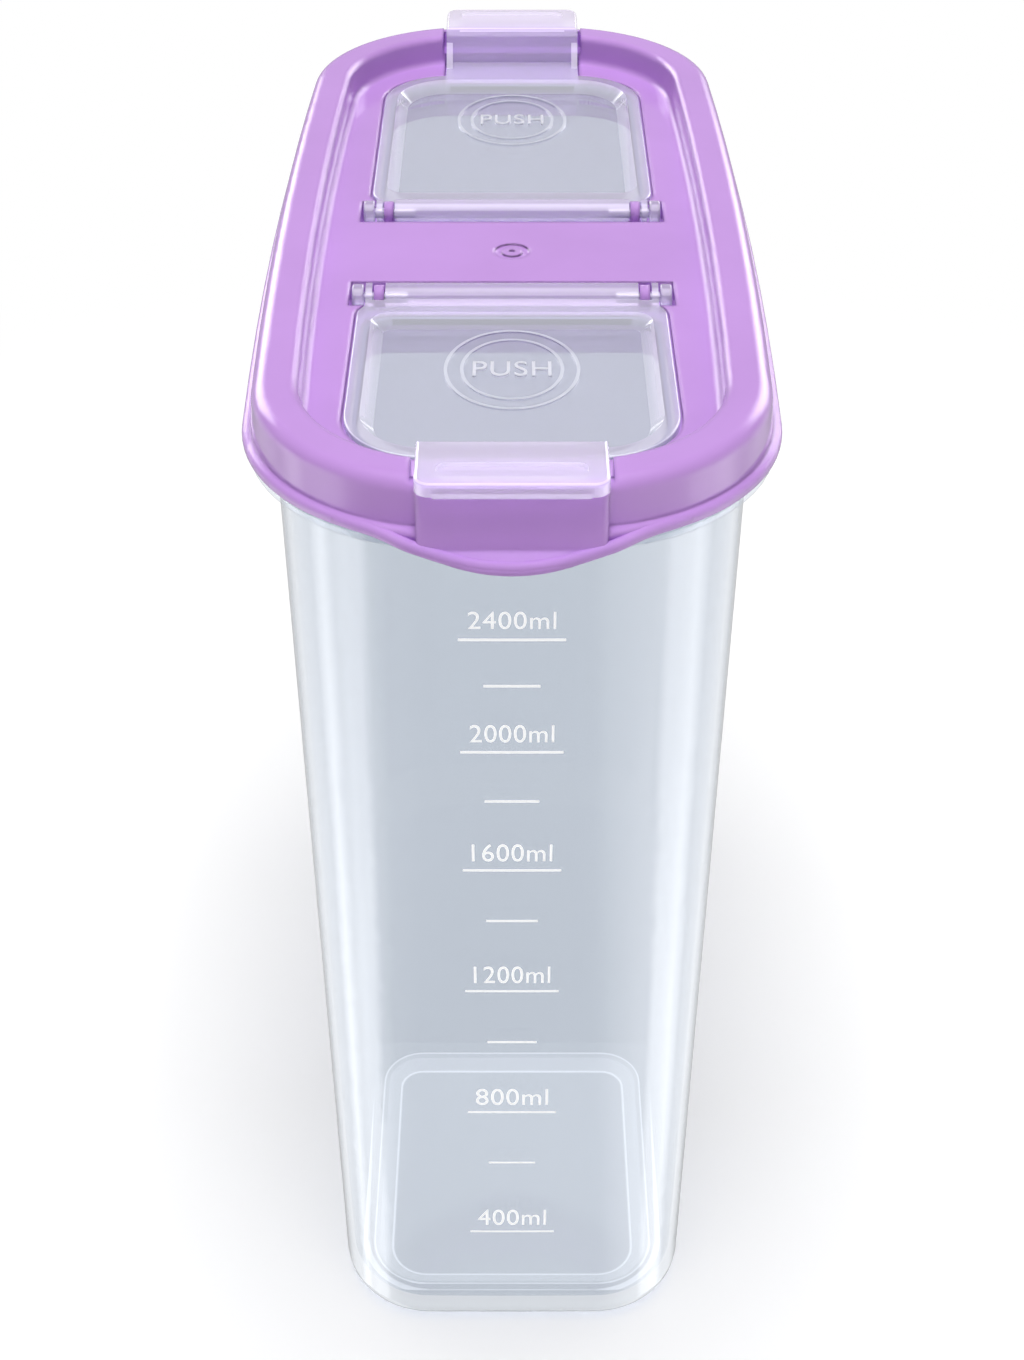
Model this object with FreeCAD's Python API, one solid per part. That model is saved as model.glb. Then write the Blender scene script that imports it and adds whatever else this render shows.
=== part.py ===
import FreeCAD
import Part
import math
import os

# Storage container: a clear tapered tub, a lid with a raised frame and two clear flip caps.
# All sizes are in millimetres. The origin is the middle of the base, X runs across the narrow
# side, Y towards the rear and Z up.

# Overall
lid_top_z = 221.0
cut_overrun = 3.0
x_ends = (-1.0, 1.0)

# Lid seen from above: four long bowed sides joined by round corners
lid_half_width = 44.0
lid_half_length = 100.0
side_bow_radius = 1600.0
end_bow_radius = 1400.0
lid_corner_radius = 33.7

# Lid section: raised frame, sunk deck, skirt and inner plug wall
lid_height = 9.9
lid_wall = 1.8
skirt_flare = 0.8
frame_width = 7.4
frame_edge_radius = 2.4
frame_inner_radius = 1.3
frame_roof = 2.0
deck_depth = 6.0
deck_thickness = 2.6
recess_draft = 0.5
recess_foot_radius = 1.2
bead_reach = 2.2
bead_height = 2.2
bead_round_share = 0.45
plug_wall_inset = 5.4
plug_wall = 1.6
plug_wall_drop = 13.0

# Lid gasket in a groove round the plug wall
gasket_height = 2.0
gasket_drop = 10.2
gasket_groove_depth = 0.8
gasket_gap = 0.35

# Notch in each end of the frame, with the wall that stays outside it
notch_clearance = 0.8
notch_depth = 4.2
notch_roof = 1.5
notch_side_wall = 2.0
notch_outer_wall = 2.6
notch_wall_drop = 0.8

# Proud panel below each notch and its flared thumb lip
panel_side_inset = 0.9
panel_proud_top = 0.6
panel_proud = 3.0
panel_crease_drop = 10.2
panel_edge_radius = 0.7
lip_reach = 6.0
lip_drop = 12.2
lip_thickness = 1.6
lip_flange_clearance = 0.5
lip_arc_radius = 34.0
lip_blend_radius = 5.0
lip_edge_radius = 0.6

# Hinge bar across the deck and the pocket on each side of it
bar_centre_y = -7.0
bar_half_width = 13.0
dimple_radius = 3.3
dimple_boss_radius = 2.0
dimple_hole_radius = 0.6
dimple_depth = 0.4
pocket_end_clearance = 0.55
pocket_bar_gap = 5.3
pocket_cap_reach = 4.3
pocket_depth_below_axis = 3.1
pocket_wall = 1.5

# Hinge: cap barrel, lid ears in its windows and stub pins
axis_drop = 6.5
barrel_radius = 2.6
barrel_end_inset = 1.3
barrel_end_block = 1.2
window_width = 2.4
window_clearance = 0.7
ear_side_clearance = 0.3
ear_radius = 2.2
pin_radius = 1.0
pin_grip = 4.0
pin_seat_clearance = 0.02
pin_running_clearance = 0.06
pin_head_radius = 2.4
pin_head_gap = 0.35
pin_head_length = 2.2
pin_head_round = 0.5
pin_tip_clearance = 0.3

# Cap: flange, sunk pan that plugs the pour opening, and two finger rings
cap_side_inset = 16.2
flange_start = 3.2
cap_end_inset = 17.0
flange_thickness = 1.4
flange_hinge_corner = 5.0
flange_latch_corner = 14.0
flange_edge_radius = 0.4
rebate_depth = 1.1
rebate_clearance = 0.4
seat_clearance = 0.1
plug_inset = 1.4
plug_start = 6.3
plug_drop = 9.5
pan_wall = 1.3
pan_slope = 2.2
pan_floor_thickness = 1.5
finger_ring_half_width = 11.8
finger_ring_half_length = 14.2
inner_ring_half_width = 9.0
inner_ring_half_length = 10.9
finger_ring_line = 0.6
finger_ring_height = 0.3
front_ring_inset = 33.0
rear_ring_inset = 20.5

# Pour opening under each cap
opening_clearance = 0.6
collar_wall = 1.6
collar_drop = 14.8

# Cap seal in a groove round the pan wall
seal_drop = 7.3
seal_height = 1.2
seal_groove_depth = 0.7
seal_gap = 0.35

# Latch at the free end of each cap
latch_half_width = 14.8
latch_back_wall = 1.5
latch_wall = 1.6
latch_rise = 2.2
latch_plate = 2.4
latch_overhang = 4.0
latch_corner_radius = 2.5
latch_edge_radius = 0.7
latch_lip_half_width = 12.0
latch_lip_inset = 1.0
latch_lip_thickness = 1.5
latch_lip_depth = 0.9
grip_half_length = 11.5
grip_half_width = 2.0
grip_depth = 0.7
grip_end_margin = 2.2
gusset_thickness = 1.4
gusset_run = 4.0
gusset_rise = 4.5

# Tub: tapered shell, rim, flange under the lid, and a floor with a shallow front well
tub_rim_drop = 6.5
tub_inset = 3.1
tub_wall = 1.6
side_taper = 2.2
end_taper = 5.4
corner_taper = 12.0
tub_base_radius = 5.0
tub_floor_thickness = 4.6
tub_floor_radius = 3.4
tub_flange_reach = 1.4
tub_flange_thickness = 1.8
tub_flange_round = 0.6
well_side_inset = 7.7
well_front_inset = 6.4
well_length_share = 0.37
well_front_corner = 12.0
well_rear_corner = 9.0
well_slope = 4.0
well_depth = 2.4
well_foot_radius = 1.6
well_edge_radius = 1.0

# Places and sizes that follow from the ones above
skirt_z = lid_top_z - lid_height
deck_z = lid_top_z - deck_depth
axis_z = lid_top_z - axis_drop
rebate_z = deck_z - rebate_depth
flange_z = rebate_z + seat_clearance
flange_top_z = flange_z + flange_thickness
plug_z = lid_top_z - plug_drop
pan_floor_z = plug_z + pan_floor_thickness
rim_z = lid_top_z - tub_rim_drop
tub_flange_z = skirt_z - seat_clearance
notch_z = lid_top_z - notch_depth
hinge_reach = bar_half_width + pocket_bar_gap
flange_half_width = lid_half_width - cap_side_inset
flange_end_y = lid_half_length - cap_end_inset
barrel_half_length = flange_half_width - barrel_end_inset
window_outer = barrel_half_length - barrel_end_block
window_inner = window_outer - window_width
window_reach = ear_radius + window_clearance
pocket_half_width = barrel_half_length + pin_head_gap + pin_head_length + pocket_end_clearance
notch_half_width = latch_half_width + notch_clearance
panel_half_width = notch_half_width - panel_side_inset
lip_clear_reach = tub_flange_reach + lip_flange_clearance
latch_seat_y = lid_half_length - plug_wall_inset - latch_back_wall
latch_wall_y = latch_seat_y - rebate_clearance - latch_wall
latch_end_y = lid_half_length + latch_overhang
tub_base_half_width = lid_half_width - tub_inset - side_taper
tub_base_half_length = lid_half_length - tub_inset - end_taper
tub_base_corner = lid_corner_radius - tub_inset - corner_taper
well_half_width = tub_base_half_width - well_side_inset
well_front_y = well_front_inset - tub_base_half_length
well_rear_y = well_front_y + 2 * tub_base_half_length * well_length_share


def vec(x, y, z):
    return FreeCAD.Vector(x, y, z)


# Outlines

LID = (lid_half_width, lid_half_length, side_bow_radius, end_bow_radius, lid_corner_radius)
TUB_BASE = (tub_base_half_width, tub_base_half_length, side_bow_radius, end_bow_radius, tub_base_corner)


def grow(outline, distance):
    return tuple(size + distance for size in outline)


def bowed_wire(outline, z):
    """Closed wire of eight tangent arcs: two sides, two ends and four corners."""
    half_w, half_l, side_r, end_r, corner_r = outline
    side_c = vec(half_w - side_r, 0, z)
    end_c = vec(0, half_l - end_r, z)
    span = end_c - side_c
    reach_side = side_r - corner_r
    reach_end = end_r - corner_r
    along = (reach_side ** 2 - reach_end ** 2 + span.Length ** 2) / (2 * span.Length)
    across = math.sqrt(reach_side ** 2 - along ** 2)
    unit = span / span.Length
    corner_c = side_c + unit * along + vec(unit.y, -unit.x, 0) * across
    if corner_c.x < 0 or corner_c.y < 0:
        corner_c = side_c + unit * along - vec(unit.y, -unit.x, 0) * across
    to_side = (corner_c - side_c).normalize()
    to_end = (corner_c - end_c).normalize()
    side_pt = side_c + to_side * side_r
    end_pt = end_c + to_end * end_r
    mid_pt = corner_c + (to_side + to_end).normalize() * corner_r

    def at(point, sx, sy):
        return vec(point.x * sx, point.y * sy, z)

    right = vec(half_w, 0, z)
    rear = vec(0, half_l, z)
    trios = [
        (at(side_pt, 1, -1), right, at(side_pt, 1, 1)),
        (at(side_pt, 1, 1), at(mid_pt, 1, 1), at(end_pt, 1, 1)),
        (at(end_pt, 1, 1), rear, at(end_pt, -1, 1)),
        (at(end_pt, -1, 1), at(mid_pt, -1, 1), at(side_pt, -1, 1)),
        (at(side_pt, -1, 1), at(right, -1, 1), at(side_pt, -1, -1)),
        (at(side_pt, -1, -1), at(mid_pt, -1, -1), at(end_pt, -1, -1)),
        (at(end_pt, -1, -1), at(rear, 1, -1), at(end_pt, 1, -1)),
        (at(end_pt, 1, -1), at(mid_pt, 1, -1), at(side_pt, 1, -1)),
    ]
    return Part.Wire([Part.Arc(*trio).toShape() for trio in trios])


def rounded_wire(half_w, y_near, y_far, r_near, r_far, z):
    """Rectangle across X with one corner radius at its near end and another at its far end."""
    diagonal_share = math.sqrt(0.5)
    corners = [
        (half_w - r_near, y_near + r_near, r_near, 1, -1),
        (half_w - r_far, y_far - r_far, r_far, 1, 1),
        (r_far - half_w, y_far - r_far, r_far, -1, 1),
        (r_near - half_w, y_near + r_near, r_near, -1, -1),
    ]
    arcs = []
    for cx, cy, r, sx, sy in corners:
        flat = vec(cx + sx * r, cy, z)
        upright = vec(cx, cy + sy * r, z)
        middle = vec(cx + sx * r * diagonal_share, cy + sy * r * diagonal_share, z)
        first, last = (upright, flat) if sx * sy < 0 else (flat, upright)
        arcs.append((first, middle, last))
    edges = []
    for i, arc in enumerate(arcs):
        edges.append(Part.Arc(*arc).toShape())
        edges.append(Part.LineSegment(arc[2], arcs[(i + 1) % len(arcs)][0]).toShape())
    return Part.Wire(edges)


# Solids from outlines

def prism(wire, height):
    return Part.Face(wire).extrude(vec(0, 0, height))


def bowed_prism(outline, z_low, z_high):
    return prism(bowed_wire(outline, z_low), z_high - z_low)


def bowed_ring(outer, inner, z_low, z_high):
    return bowed_prism(outer, z_low, z_high).cut(bowed_prism(inner, z_low, z_high))


def loft(low_wire, high_wire):
    return Part.makeLoft([low_wire, high_wire], True, True)


def block(x_low, x_high, y_low, y_high, z_low, z_high):
    return Part.makeBox(x_high - x_low, y_high - y_low, z_high - z_low, vec(x_low, y_low, z_low))


def rod(radius, x_low, x_high, y, z):
    return Part.makeCylinder(radius, x_high - x_low, vec(x_low, y, z), vec(1, 0, 0))


def profile_prism(points, x_half):
    """Solid with a section drawn in Y and Z, running across X."""
    corners = [vec(-x_half, y, z) for y, z in points]
    return Part.Face(Part.makePolygon(corners + corners[:1])).extrude(vec(2 * x_half, 0, 0))


def turned(shape):
    """Copy of a rear feature turned half round, for the front."""
    copy = shape.copy()
    copy.rotate(vec(0, 0, 0), vec(0, 0, 1), 180)
    return copy


def level_edges(shape, z, face=None):
    """Edges that lie flat at one height, inside the given face where one is given."""
    found = []
    for edge in shape.Edges:
        box = edge.BoundBox
        tolerance = pin_seat_clearance
        if abs(box.ZMin - z) > tolerance or abs(box.ZMax - z) > tolerance:
            continue
        middle = edge.valueAt((edge.FirstParameter + edge.LastParameter) / 2)
        if face is None or face.isInside(vec(middle.x, middle.y, z), tolerance, True):
            found.append(edge)
    return found


def rounded(shape, radius, edges):
    return shape.makeFillet(radius, edges)


# Places that differ between the front and the rear

def axis_distance(end):
    """Distance of a hinge axis from the lid's middle, towards its own end of the lid."""
    return hinge_reach + end * bar_centre_y


# Lid

def lid_shell():
    top = bowed_wire(LID, lid_top_z)
    body = loft(bowed_wire(grow(LID, skirt_flare), skirt_z), top)
    body = rounded(body, frame_edge_radius, level_edges(body, lid_top_z))
    bead = bowed_prism(grow(LID, bead_reach), skirt_z, skirt_z + bead_height)
    bead_round = bead_height * bead_round_share
    rims = level_edges(bead, skirt_z) + level_edges(bead, skirt_z + bead_height)
    bead = rounded(bead, bead_round, rims)
    body = body.fuse(bead)
    inner_top = grow(LID, -frame_width)
    recess = loft(bowed_wire(grow(inner_top, -recess_draft), deck_z), bowed_wire(inner_top, lid_top_z))
    recess = rounded(recess, recess_foot_radius, level_edges(recess, deck_z))
    body = body.cut(recess)
    middle_line = Part.Face(bowed_wire(grow(LID, -(frame_width + frame_edge_radius) / 2), lid_top_z))
    return rounded(body, frame_inner_radius, level_edges(body, lid_top_z, middle_line))


def notch_box(side_room, y_low, y_high, z_low, z_high):
    return block(-notch_half_width - side_room, notch_half_width + side_room, y_low, y_high, z_low, z_high)


def lid_hollows():
    """Channel for the tub's rim, kept below each notch, and the space under the deck."""
    low = skirt_z - cut_overrun
    roof = lid_top_z - frame_roof
    outer = loft(bowed_wire(grow(LID, skirt_flare - lid_wall), low), bowed_wire(grow(LID, -lid_wall), roof))
    channel = outer.cut(bowed_prism(grow(LID, -plug_wall_inset), low, roof))
    roof_low = notch_z - notch_roof
    keep = notch_box(notch_side_wall, lid_half_length - frame_width, lid_half_length, roof_low, lid_top_z)
    channel = channel.cut(keep).cut(turned(keep))
    under = bowed_prism(grow(LID, -plug_wall_inset - plug_wall), low, deck_z - deck_thickness)
    return channel.fuse(under)


def plug_wall_ring():
    outer = grow(LID, -plug_wall_inset)
    inner = grow(outer, -plug_wall)
    wall = bowed_ring(outer, inner, lid_top_z - plug_wall_drop, deck_z)
    groove_low = lid_top_z - gasket_drop - gasket_height
    groove = bowed_ring(grow(outer, cut_overrun), grow(outer, -gasket_groove_depth), groove_low,
                        groove_low + gasket_height)
    return wall.cut(groove)


def lip_plan(y_low):
    """Thumb lip seen from above: a round front with a hollow blend into the bead at each side."""
    arc_c = lid_half_length + lip_reach - lip_arc_radius
    bead_y = lid_half_length + bead_reach
    blend_c = bead_y + lip_blend_radius
    reach = lip_arc_radius + lip_blend_radius
    side_x = math.sqrt(reach ** 2 - (blend_c - arc_c) ** 2)
    meet_share = lip_arc_radius / reach
    meet_x = side_x * meet_share
    meet_y = arc_c + (blend_c - arc_c) * meet_share
    half_turn = math.atan2(side_x, blend_c - arc_c) / 2
    mid_x = side_x - lip_blend_radius * math.sin(half_turn)
    mid_y = blend_c - lip_blend_radius * math.cos(half_turn)
    front = vec(0, lid_half_length + lip_reach, 0)
    edges = [
        Part.Arc(vec(side_x, bead_y, 0), vec(mid_x, mid_y, 0), vec(meet_x, meet_y, 0)).toShape(),
        Part.Arc(vec(meet_x, meet_y, 0), front, vec(-meet_x, meet_y, 0)).toShape(),
        Part.Arc(vec(-meet_x, meet_y, 0), vec(-mid_x, mid_y, 0), vec(-side_x, bead_y, 0)).toShape(),
        Part.LineSegment(vec(-side_x, bead_y, 0), vec(-side_x, y_low, 0)).toShape(),
        Part.LineSegment(vec(-side_x, y_low, 0), vec(side_x, y_low, 0)).toShape(),
        Part.LineSegment(vec(side_x, y_low, 0), vec(side_x, bead_y, 0)).toShape(),
    ]
    return Part.Wire(edges)


def thumb_panel():
    """Proud panel below the notch and the lip that lifts the lid."""
    y_in = lid_half_length - lid_wall / 2
    y_clear = lid_half_length + lip_clear_reach
    y_crease = lid_half_length + panel_proud
    top = lid_top_z - notch_wall_drop
    crease = lid_top_z - panel_crease_drop
    panel = profile_prism([
        (y_in, top), (lid_half_length + panel_proud_top, top), (y_crease, crease),
        (y_clear, crease), (y_clear, skirt_z), (y_in, skirt_z),
    ], panel_half_width)
    uprights = [e for e in panel.Edges if e.BoundBox.YMax > y_clear
                and e.BoundBox.XLength < cut_overrun and e.BoundBox.ZLength > bead_height]
    panel = rounded(panel, panel_edge_radius, uprights)
    slope_share = (lip_drop - panel_crease_drop) / (lip_reach - panel_proud)
    z_in = crease + slope_share * (y_crease - y_in)
    y_end = lid_half_length + lip_reach + cut_overrun
    z_end = crease - slope_share * (y_end - y_crease)
    half = notch_half_width + lip_blend_radius
    lip = profile_prism([
        (y_in, z_in), (y_end, z_end), (y_end, z_end - lip_thickness), (y_in, z_in - lip_thickness),
    ], half)
    lip = lip.common(prism(lip_plan(y_in - cut_overrun), lid_top_z)).Solids[0]
    nose = [e for e in lip.Edges if e.BoundBox.XLength > panel_half_width
            and e.BoundBox.YMax > lid_half_length + lip_reach - lip_edge_radius]
    lip = rounded(lip, lip_edge_radius, nose)
    tip_y = lid_half_length + lip_reach
    tip_z = lid_top_z - lip_drop - lip_thickness
    root = profile_prism([
        (y_in - cut_overrun, lid_top_z), (y_clear, lid_top_z), (y_clear, skirt_z), (tip_y, tip_z),
        (tip_y, z_end - cut_overrun), (y_in - cut_overrun, z_end - cut_overrun),
    ], half)
    return panel.fuse(lip.cut(root))


def end_notch():
    inner = lid_half_length - frame_width - recess_draft - frame_inner_radius
    pocket = notch_box(0, inner, lid_half_length - notch_outer_wall, notch_z, lid_top_z + cut_overrun)
    mouth = notch_box(0, inner, lid_half_length + bead_reach, lid_top_z - notch_wall_drop,
                      lid_top_z + cut_overrun)
    return pocket.fuse(mouth)


def opening_wire(end, margin, z):
    far = flange_end_y - axis_distance(end) - plug_inset + opening_clearance + margin
    near = plug_start - opening_clearance - margin
    return rounded_wire(flange_half_width - plug_inset + opening_clearance + margin, near, far,
                        flange_hinge_corner + margin, flange_latch_corner - plug_inset + margin, z)


def placed(shape, end):
    """Move a feature from its hinge axis at y = 0 to its end of the lid."""
    copy = shape.copy()
    copy.translate(vec(0, axis_distance(end), 0))
    return copy if end > 0 else turned(copy)


def cap_seat_solids(end):
    """Walls below the deck: the pour collar and the trough round the hinge pocket."""
    collar_z = lid_top_z - collar_drop
    collar = prism(opening_wire(end, collar_wall, collar_z), deck_z - collar_z)
    trough_low = axis_z - pocket_depth_below_axis - pocket_wall
    half = pocket_half_width + pocket_wall
    trough = block(-half, half, -pocket_bar_gap - pocket_wall, pocket_cap_reach + pocket_wall,
                   trough_low, deck_z)
    return placed(collar.fuse(trough), end)


def cap_seat_cuts(end):
    """Pour opening, hinge pocket and the shallow rebate that the cap's flange lies in."""
    collar_z = lid_top_z - collar_drop
    opening = prism(opening_wire(end, 0, collar_z - cut_overrun), lid_height + collar_drop)
    pocket = block(-pocket_half_width, pocket_half_width, -pocket_bar_gap, pocket_cap_reach,
                   axis_z - pocket_depth_below_axis, lid_top_z)
    far = flange_end_y - axis_distance(end)
    rebate = prism(rounded_wire(flange_half_width + rebate_clearance, flange_start - rebate_clearance,
                                far + rebate_clearance, flange_hinge_corner, flange_latch_corner, rebate_z),
                   deck_depth)
    strip_half = latch_half_width + rebate_clearance
    strip_end = latch_seat_y - axis_distance(end)
    strip = block(-strip_half, strip_half, far - flange_latch_corner, strip_end, rebate_z, lid_top_z)
    return placed(opening.fuse([pocket, rebate, strip]), end)


def hinge_ears(end):
    """Two upright ears in the pocket, each with a bore that a stub pin turns in."""
    inner = window_inner + ear_side_clearance
    outer = window_outer - ear_side_clearance
    foot_z = axis_z - pocket_depth_below_axis - pocket_wall / 2
    ears = []
    for side in x_ends:
        low, high = sorted((side * inner, side * outer))
        ear = block(low, high, -ear_radius, ear_radius, foot_z, axis_z)
        ear = ear.fuse(rod(ear_radius, low, high, 0, axis_z))
        ears.append(ear.cut(rod(pin_radius + pin_running_clearance, low, high, 0, axis_z)))
    return placed(ears[0].fuse(ears[1]), end)


def gate_dimple():
    place = vec(0, bar_centre_y, deck_z - dimple_depth)
    dish = Part.makeCylinder(dimple_radius, deck_depth, place)
    boss = Part.makeCylinder(dimple_boss_radius, dimple_depth, place)
    hole = Part.makeCylinder(dimple_hole_radius, dimple_depth, place)
    return dish.cut(boss.cut(hole))


def make_lid():
    lid = lid_shell().cut(lid_hollows())
    panel = thumb_panel()
    lid = lid.fuse([plug_wall_ring(), panel, turned(panel)] + [cap_seat_solids(end) for end in x_ends])
    notch = end_notch()
    lid = lid.cut([notch, turned(notch), gate_dimple()] + [cap_seat_cuts(end) for end in x_ends])
    return lid.fuse([hinge_ears(end) for end in x_ends]).removeSplitter()


def make_lid_gasket():
    groove = grow(LID, -plug_wall_inset - gasket_groove_depth)
    low = lid_top_z - gasket_drop - gasket_height
    outer = grow(LID, -tub_inset - tub_wall - gasket_gap)
    return bowed_ring(outer, groove, low, low + gasket_height)


# Flip caps, drawn with the hinge axis at y = 0

def plug_wire(end, inset, z):
    far = flange_end_y - axis_distance(end) - plug_inset - inset
    return rounded_wire(flange_half_width - plug_inset - inset, plug_start + inset, far,
                        flange_hinge_corner - inset, flange_latch_corner - plug_inset - inset, z)


def cap_pan(end):
    far = flange_end_y - axis_distance(end)
    flange = prism(rounded_wire(flange_half_width, flange_start, far, flange_hinge_corner,
                                flange_latch_corner, flange_z), flange_thickness)
    flange = rounded(flange, flange_edge_radius, level_edges(flange, flange_top_z))
    plug = prism(plug_wire(end, 0, plug_z), flange_z - plug_z)
    hollow = loft(plug_wire(end, pan_wall + pan_slope, pan_floor_z), plug_wire(end, pan_wall, flange_top_z))
    groove_z = lid_top_z - seal_drop - seal_height
    groove = prism(plug_wire(end, -seal_groove_depth, groove_z), seal_height)
    groove = groove.cut(prism(plug_wire(end, seal_groove_depth, groove_z), seal_height))
    return flange.fuse(plug).cut(hollow).cut(groove)


def finger_ring(half_w, half_l, y):
    def oval(margin):
        curve = Part.Ellipse(vec(0, 0, 0), half_l + margin, half_w + margin)
        edge = curve.toShape()
        edge.rotate(vec(0, 0, 0), vec(0, 0, 1), 90)
        edge.translate(vec(0, y, pan_floor_z))
        return prism(Part.Wire(edge), finger_ring_height)
    return oval(0).cut(oval(-finger_ring_line))


def cap_latch(end):
    """Wall up from the flange, plate over the notch, hooked front edge, grip hollow and gussets."""
    wall_y = latch_wall_y - axis_distance(end)
    end_y = latch_end_y - axis_distance(end)
    far = flange_end_y - axis_distance(end)
    top = lid_top_z + latch_rise
    half = latch_half_width
    ledge = block(-half, half, far - plug_inset, wall_y + latch_wall, flange_z, flange_top_z)
    wall = block(-half, half, wall_y, wall_y + latch_wall, flange_z, top - latch_plate)
    plate = block(-half, half, wall_y, end_y, top - latch_plate, top)
    front_corners = [e for e in plate.Edges if e.BoundBox.YMin > end_y - latch_edge_radius
                     and e.BoundBox.ZLength > latch_edge_radius]
    plate = rounded(plate, latch_corner_radius, front_corners)
    plate = rounded(plate, latch_edge_radius, level_edges(plate, top))
    lip_far = end_y - latch_lip_inset
    lip = block(-latch_lip_half_width, latch_lip_half_width, lip_far - latch_lip_thickness, lip_far,
                top - latch_plate - latch_lip_depth, top - latch_plate)
    grip_y = end_y - grip_end_margin - grip_half_width
    grip = prism(rounded_wire(grip_half_length, grip_y - grip_half_width, grip_y + grip_half_width,
                              grip_half_width - latch_edge_radius / 2,
                              grip_half_width - latch_edge_radius / 2, top - grip_depth), latch_plate)
    gussets = []
    for side in x_ends:
        x_low, x_high = sorted((side * (half - gusset_thickness), side * half))
        corners = [vec(x_low, wall_y, flange_top_z), vec(x_low, wall_y - gusset_run, flange_top_z),
                   vec(x_low, wall_y, flange_top_z + gusset_rise)]
        web = Part.Face(Part.makePolygon(corners + corners[:1]))
        gussets.append(web.extrude(vec(x_high - x_low, 0, 0)))
    return ledge.fuse([wall, plate.cut(grip), lip] + gussets)


def cap_barrel():
    """Barrel and web with a window for each ear and a bore for each stub pin."""
    half = barrel_half_length
    barrel = rod(barrel_radius, -half, half, 0, axis_z)
    web = block(-half, half, 0, flange_start + flange_hinge_corner, flange_z, flange_top_z)
    barrel = barrel.fuse(web)
    bore_start = window_inner - pin_grip
    for side in x_ends:
        x_low, x_high = sorted((side * window_inner, side * window_outer))
        window = block(x_low, x_high, -window_reach, window_reach, axis_z - barrel_radius - cut_overrun,
                       axis_z + barrel_radius + cut_overrun)
        b_low, b_high = sorted((side * bore_start, side * (half + cut_overrun)))
        barrel = barrel.cut(window).cut(rod(pin_radius + pin_seat_clearance, b_low, b_high, 0, axis_z))
    return barrel


def make_cap(end, ring_inset):
    local_ring_y = flange_end_y - ring_inset - axis_distance(end)
    hollow = loft(plug_wire(end, pan_wall + pan_slope, pan_floor_z), plug_wire(end, pan_wall, flange_top_z))
    barrel = cap_barrel().cut(hollow)
    cap = cap_pan(end).fuse([
        barrel, cap_latch(end).cut(hollow),
        finger_ring(finger_ring_half_width, finger_ring_half_length, local_ring_y),
        finger_ring(inner_ring_half_width, inner_ring_half_length, local_ring_y),
    ])
    return placed(cap.removeSplitter(), end)


def make_cap_seal(end):
    low = lid_top_z - seal_drop - seal_height
    outer = prism(plug_wire(end, seal_gap - opening_clearance, low), seal_height)
    return placed(outer.cut(prism(plug_wire(end, seal_groove_depth, low), seal_height)), end)


def make_hinge_pin(end, side):
    """Stub pin: a round head outside the barrel and a shank through its end, an ear and its bore."""
    head_x = barrel_half_length + pin_head_gap
    tip_x = window_inner - pin_grip + pin_tip_clearance
    head = rod(pin_head_radius, head_x, head_x + pin_head_length, 0, axis_z)
    rims = [e for e in head.Edges if e.BoundBox.XLength < pin_seat_clearance]
    head = rounded(head, pin_head_round, rims)
    pin = head.fuse(rod(pin_radius, tip_x, head_x + pin_head_round, 0, axis_z))
    if side < 0:
        pin = turned(pin)
    pin.translate(vec(0, end * axis_distance(end), 0))
    return pin


# Tub

def tub_loft(inset, z_low, z_high):
    """Tapered solid between two heights, a constant inset inside the tub's outer faces."""
    base = grow(TUB_BASE, -inset)
    top = grow(LID, -tub_inset - inset)

    def section(z):
        share = z / rim_z
        return tuple(low + (high - low) * share for low, high in zip(base, top))

    return loft(bowed_wire(section(z_low), z_low), bowed_wire(section(z_high), z_high))


def well_wire(margin, z):
    return rounded_wire(well_half_width + margin, well_front_y - margin, well_rear_y + margin,
                        well_front_corner + margin, well_rear_corner + margin, z)


def floor_well():
    """Shallow sunk panel in the front of the floor, with sloped sides and a rounded foot."""
    low = tub_floor_thickness - well_depth
    well = loft(well_wire(-well_slope, low), well_wire(0, tub_floor_thickness))
    return rounded(well, well_foot_radius, level_edges(well, low))


def make_container_body():
    outer = tub_loft(0, 0, rim_z)
    outer = rounded(outer, tub_base_radius, level_edges(outer, 0))
    flange_low = tub_flange_z - tub_flange_thickness
    flange = bowed_prism(grow(LID, tub_flange_reach), flange_low, tub_flange_z)
    rims = level_edges(flange, flange_low) + level_edges(flange, tub_flange_z)
    flange = rounded(flange, tub_flange_round, rims)
    cavity = tub_loft(tub_wall, tub_floor_thickness, rim_z + cut_overrun)
    cavity = rounded(cavity, tub_floor_radius, level_edges(cavity, tub_floor_thickness))
    body = outer.fuse(flange).cut([cavity, floor_well()]).removeSplitter().Solids[0]
    near_well = Part.Face(well_wire(pin_seat_clearance, tub_floor_thickness))
    return rounded(body, well_edge_radius, level_edges(body, tub_floor_thickness, near_well))


# Export

nodes = {
    "container_body": make_container_body(),
    "lid": make_lid(),
    "lid_gasket": make_lid_gasket(),
    "front_cap": make_cap(-1, front_ring_inset),
    "rear_cap": make_cap(1, rear_ring_inset),
    "front_cap_seal": make_cap_seal(-1),
    "rear_cap_seal": make_cap_seal(1),
    "front_left_hinge_pin": make_hinge_pin(-1, -1),
    "front_right_hinge_pin": make_hinge_pin(-1, 1),
    "rear_left_hinge_pin": make_hinge_pin(1, -1),
    "rear_right_hinge_pin": make_hinge_pin(1, 1),
}
os.makedirs("parts", exist_ok=True)
for name, shape in nodes.items():
    solid = shape.Solids[0] if len(shape.Solids) == 1 else shape
    solid.exportStep("parts/" + name + ".step")
    box = solid.BoundBox
    print(name, "solids", len(shape.Solids), "valid", solid.isValid(), "volume", round(solid.Volume, 1),
          "box", [round(v, 2) for v in (box.XMin, box.XMax, box.YMin, box.YMax, box.ZMin, box.ZMax)])
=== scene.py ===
import math

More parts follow.
